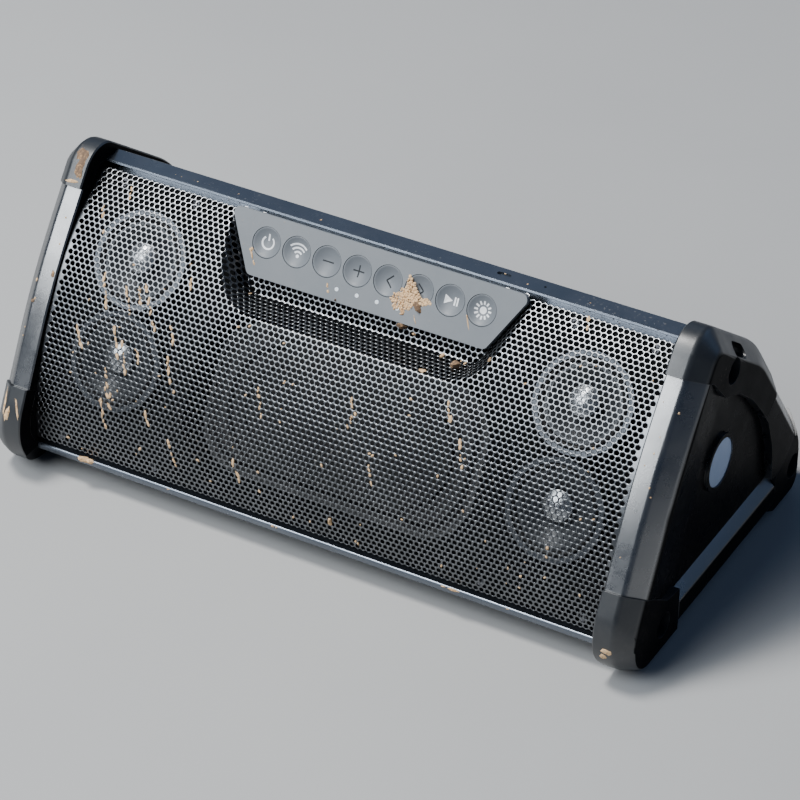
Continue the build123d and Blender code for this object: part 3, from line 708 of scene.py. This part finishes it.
def grille_mud():
    """Dribbles that ran down and to the right, thickest on the left, and stray specks."""
    for _ in range(15):
        dribble(DICE.uniform(-146, -82), DICE.uniform(-40, 28), DICE.uniform(6, 16),
                DICE.uniform(0.3, 0.6))
    for x, v, long in ((-143, 50, 5), (-133, 61, 4), (-85, 30, 5), (-36, -8, 15), (58, 13, 7),
                       (27, -26, 9), (68, -2, 13), (-42, -46, 9), (106, 66, 4), (-78, -47, 11)):
        dribble(x, v, long, 0.4)
    dribble(11, 1, 6, 0.6)
    dribble(14.5, -5, 7, -0.3)
    for _ in range(90):
        x, v = DICE.uniform(-148, 148), DICE.uniform(-66, 60)
        if abs(x) < 92 and v > 18 and DICE.random() < 0.6:
            continue
        size = DICE.uniform(0.5, 1.4)
        mud_patch("grille_metal", CLAY, on_grille(x, v), size * 1.6, size, 0.35, DICE.uniform(0, 3), 7)
    pebble(19.5, 38.2, 4.6, 7.2, 4.4)
    pebble(51.5, 28.8, 5.4, 6.4, 3.4)
    pebble(-15, 40.2, 3.4, 2.2, 4.0)
    for x, v, long, wide, rise in ((43, 30.8, 2.6, 2.6, 1.6), (40.5, 23.2, 1.8, 4.0, 0.8),
                                   (70, 37.0, 2.6, 1.6, 1.2), (10.5, -58.5, 4.0, 2.2, 1.6),
                                   (26, 36.0, 1.6, 2.4, 0.8)):
        mud_patch("grille_metal", CLAY, on_grille(x, v), long, wide, rise)


def crumbs(outline, spacing, rise):
    """Fill an outline on the panel with small ragged chips."""
    low_x, high_x = min(p[0] for p in outline), max(p[0] for p in outline)
    low_v, high_v = min(p[1] for p in outline), max(p[1] for p in outline)
    for row in range(int((high_v - low_v) / spacing) + 1):
        for column in range(int((high_x - low_x) / spacing) + 1):
            x = low_x + (column + DICE.uniform(-0.3, 0.3)) * spacing
            v = low_v + (row + DICE.uniform(-0.3, 0.3)) * spacing
            inside = False
            for (ax, av), (bx, bv) in zip(outline, outline[1:] + outline[:1]):
                if (av > v) != (bv > v) and x < ax + (v - av) / (bv - av) * (bx - ax):
                    inside = not inside
            if inside:
                size = spacing * DICE.uniform(1.3, 2.1)
                mud_patch("panel_rubber", CLAY, on_panel(x, v), size, size * DICE.uniform(0.6, 1.0),
                          rise * DICE.uniform(0.5, 1.2), DICE.uniform(0, 3), 8)


def panel_mud():
    """A crumbling leaf-shaped flake between the buttons, and a few smears beside it."""
    crumbs([(18, 61.5), (22, 58), (26, 53), (24, 50), (19, 51), (17, 56)], 1.1, 0.55)
    crumbs([(17, 56), (14.5, 53), (10.5, 49.5), (13, 47.5), (15, 43.5), (17, 46), (19, 42.5),
            (20.5, 46), (23, 47.5), (24, 51), (20, 52)], 1.1, 0.6)
    crumbs([(26, 52.5), (29, 54), (32, 52), (29, 49.5), (26, 50.5)], 1.1, 0.3)
    mud_patch("panel_rubber", EARTH, on_panel(25.6, 48.6), 8.0, 3.2, 1.5, 0.7)
    for x, v, long, wide, rise, lean in (
            (-62.6, 48.6, 5.0, 1.2, 0.4, 0.5), (-60.6, 45.2, 3.0, 1.0, 0.4, 0.4),
            (-63.6, 51.0, 2.4, 2.2, 0.5, 0.0), (51.6, 49.0, 7.5, 0.8, 0.3, 0.45),
            (-21, 45.6, 3.0, 1.0, 0.3, 0.2), (-20, 43.0, 1.6, 1.4, 0.3, 0.0),
            (26, 42.6, 5.0, 0.5, 0.2, 0.5)):
        mud_patch("panel_rubber", CLAY, on_panel(x, v), long, wide, rise, lean)


RAIL_SINK = 0.45                         # how deep the mud's root is in the top rail
BOTTOM_RAIL_V, BOTTOM_RAIL_FACE = -70.6, 0.6


def rail_mud():
    """Specks on the rails' faces."""
    low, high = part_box("top_rail")
    top, low_y = high.z / MM - RAIL_SINK, low.y / MM

    def on_top(x, back):
        return lambda a, b, lift: Vector((x + a, low_y + back + b, top + lift * 0.4)) * MM

    def on_bottom(x):
        return lambda a, b, lift: front(x + a, BOTTOM_RAIL_V + b * 0.5, BOTTOM_RAIL_FACE + lift)

    for _ in range(26):
        x = DICE.choice([DICE.uniform(-150, 150), DICE.uniform(-130, -60)])
        size = DICE.uniform(0.5, 2.2)
        mud_patch("rail_metal", CLAY, on_top(x, DICE.uniform(3.6, 8.0)), size, size * 1.2, 0.5)
    for x, long, wide, rise in ((-126, 7.0, 8.0, 3.6), (-122, 5.0, 5.0, 2.6), (-20, 3.0, 2.2, 1.6),
                                (-18, 2.0, 1.6, 1.2), (76, 3.0, 8.0, 1.8), (71, 2.0, 3.0, 1.4),
                                (-78, 1.4, 3.0, 1.0), (104, 1.2, 2.6, 1.0)):
        mud_patch("rail_metal", CLAY, on_bottom(x), long, wide, rise)


def thrown_on(piece, x, v):
    """Place for mud that lands on a piece from in front of it."""
    obj = bpy.data.objects[piece + "_finished"]

    def place(a, b, lift):
        hit, where, _, _ = obj.ray_cast(front(x + a, v + b, 80), -OUT)
        if not hit:
            _, where, _, _ = obj.closest_point_on_mesh(front(x + a, v + b, 12))
        spot = where + OUT * lift * MM
        spot.y = max(spot.y, CAD_BOX[0][1])
        return spot
    return place


def cap_mud():
    """Smears on the rubber corners and specks down the strips."""
    for piece, mat, x, v, long, wide, rise, lean in (
            ("left_bumper_top", EARTH, -157, 67, 14, 4.5, 0.5, -0.1),
            ("left_bumper_top", EARTH, -159, 71, 6, 6.0, 0.5, 0.3),
            ("left_bumper_top", EARTH, -156, 62, 6, 3.4, 0.5, 0.1),
            ("left_bumper_top", CLAY, -159, 57.5, 2.4, 8.0, 0.4, 0.1),
            ("left_bumper_front", CLAY, -164, -53, 17, 2.6, 0.4, 0.1),
            ("left_bumper_front", CLAY, -161, -58, 9, 3.0, 0.4, -0.2),
            ("left_bumper_front", CLAY, -156, -54, 13, 1.2, 0.4, 0.35),
            ("right_bumper_front", CLAY, 160, -71, 3.4, 6.0, 0.6, 0.0),
            ("right_bumper_front", CLAY, 158, -74, 2.6, 4.0, 0.6, 0.3),
            ("left_end_cap", EARTH, -155, 13, 4, 2.4, 0.6, 0.2),
            ("left_end_cap", EARTH, -162, -2, 2, 3.0, 0.5, 0.2),
            ("left_end_cap", CLAY, -163, 8, 2, 1.6, 0.4, 0.2)):
        slot = "cap_plastic" if "cap" in piece else "bumper_rubber"
        mud_patch(slot, mat, thrown_on(piece, x, v), long, wide, rise, lean)
    for _ in range(14):
        side = DICE.choice((-1, -1, 1))
        piece = "left_end_cap" if side < 0 else "right_end_cap"
        size = DICE.uniform(0.4, 1.0)
        spot = thrown_on(piece, side * DICE.uniform(154.5, 166), DICE.uniform(-40, 50))
        mud_patch("cap_plastic", CLAY, spot, size * 1.3, size, 0.25)


def mud():
    grille_mud()
    panel_mud()
    rail_mud()
    cap_mud()
    for (slot, name), (verts, faces) in PILES.items():
        obj = mesh_object(f"mud_{slot}_{name}", verts, faces)
        face_outward(obj)
        smooth(obj, 60.0)
        finish_piece(obj, "cabinet", slot, bpy.data.materials[name])


DOME_RADIUS, DOME_DROP, DOME_THICKNESS = 7.3, 2.3, 0.3
DOME_OUT = 4.75                          # top of a dome, out from the middle of its cone's box
DOME_RINGS, DOME_SIDES = 6, 32


def dust_caps():
    """Shiny domes in the middle of the four cones."""
    for joint in frame["joints"]:
        if not joint["name"].endswith("_cone_travel"):
            continue
        axis = Vector(joint["axis"]).normalized()
        low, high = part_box(joint["child"])
        across = Vector((1, 0, 0))
        along = axis.cross(across).normalized()
        top = (low + high) / 2 + axis * DOME_OUT * MM
        verts, faces = [top], []
        for ring in range(1, DOME_RINGS + 1):
            share = ring / DOME_RINGS
            for k in range(DOME_SIDES):
                a = 2 * math.pi * k / DOME_SIDES
                out = (across * math.cos(a) + along * math.sin(a)) * DOME_RADIUS * share
                verts.append(top + (out - axis * DOME_DROP * share ** 2) * MM)
        for k in range(DOME_SIDES):
            after = (k + 1) % DOME_SIDES
            faces.append((0, 1 + k, 1 + after))
            for ring in range(DOME_RINGS - 1):
                a, b = 1 + ring * DOME_SIDES, 1 + (ring + 1) * DOME_SIDES
                faces.append((a + k, b + k, b + after, a + after))
        obj = mesh_object(joint["child"] + "_cap", verts, faces)
        solid = obj.modifiers.new("thickness", "SOLIDIFY")
        solid.thickness = DOME_THICKNESS * MM
        solid.offset = 0.0
        apply_modifiers(obj)
        smooth(obj, 60.0)
        finish_piece(obj, joint["child"], "cone", DUST_CAP)


# ---- camera, light and floor -----------------------------------------------------
def camera():
    data = bpy.data.cameras.new("camera")
    data.lens, data.sensor_width = 156.35, 36.0
    obj = bpy.data.objects.new("camera", data)
    bpy.context.scene.collection.objects.link(obj)
    right = Vector((0.8688, 0.4951, 0.0074)).normalized()
    ahead = Vector((-0.4034, 0.7163, -0.5694)).normalized()
    up = right.cross(ahead).normalized()
    right = ahead.cross(up).normalized()
    turn = Matrix((right, up, -ahead)).transposed().to_4x4()
    obj.matrix_world = Matrix.Translation(Vector((667.3, -1183.9, 985.0)) * MM) @ turn
    bpy.context.scene.camera = obj


def area_light(name, position, target, size, power, colour):
    data = bpy.data.lights.new(name, "AREA")
    data.shape = "RECTANGLE"
    data.size, data.size_y = size
    data.energy = power
    data.color = colour
    obj = bpy.data.objects.new(name, data)
    obj.location = position
    obj.rotation_euler = (Vector(target) - Vector(position)).to_track_quat("-Z", "Y").to_euler()
    bpy.context.scene.collection.objects.link(obj)


def studio():
    world = bpy.data.worlds.new("studio")
    world.use_nodes = True
    world.node_tree.nodes["Background"].inputs["Color"].default_value = (0.42, 0.60, 1.0, 1.0)
    world.node_tree.nodes["Background"].inputs["Strength"].default_value = 0.10
    bpy.context.scene.world = world
    middle = (0.0, 0.0, 0.07)
    area_light("sky", (-0.96, -1.42, 1.60), middle, (1.6, 1.65), 66.0, (0.91, 0.96, 1.0))
    area_light("sun", (-0.70, -0.28, 2.05), middle, (0.5, 0.5), 50.0, (1.0, 0.99, 0.97))
    area_light("back_sky", (-0.86, 1.37, 1.25), middle, (1.4, 1.2), 1.6, (0.55, 0.72, 1.0))
    area_light("right_sky", (1.10, 1.44, 0.90), middle, (1.4, 1.0), 3.0, (0.35, 0.56, 1.0))
    floor = mesh_object("floor", [(-4, -4, 0), (4, -4, 0), (4, 4, 0), (-4, 4, 0)], [(0, 1, 2, 3)])
    n = Nodes("floor_paper")
    n.set("Base Color", n.mix(n.span(n.noise(3.0), 0.3, 0.7), (0.39, 0.39, 0.39), (0.42, 0.42, 0.415)))
    n.set("Roughness", 0.75)
    floor.data.materials.append(n.mat)


camera()
studio()
dress_cad()
grille()
icons()
for side in ("left", "right"):
    for name in ("top", "front", "rear"):
        softened(f"{side}_bumper_{name}", 1.1, RUBBER)
    softened(f"{side}_end_cap", 0.6, CAP)
    softened(f"{side}_skid_bar", 1.0, SKID)
    softened(f"{side}_cap_disc", 0.3, DISC)
softened("top_rail", 0.5, RAIL)
softened("bottom_rail", 0.5, RAIL)
softened("control_panel", 0.6, PANEL)
for name in BUTTONS:
    softened("button_" + name, 0.0, KEY)
dust_caps()
mud()
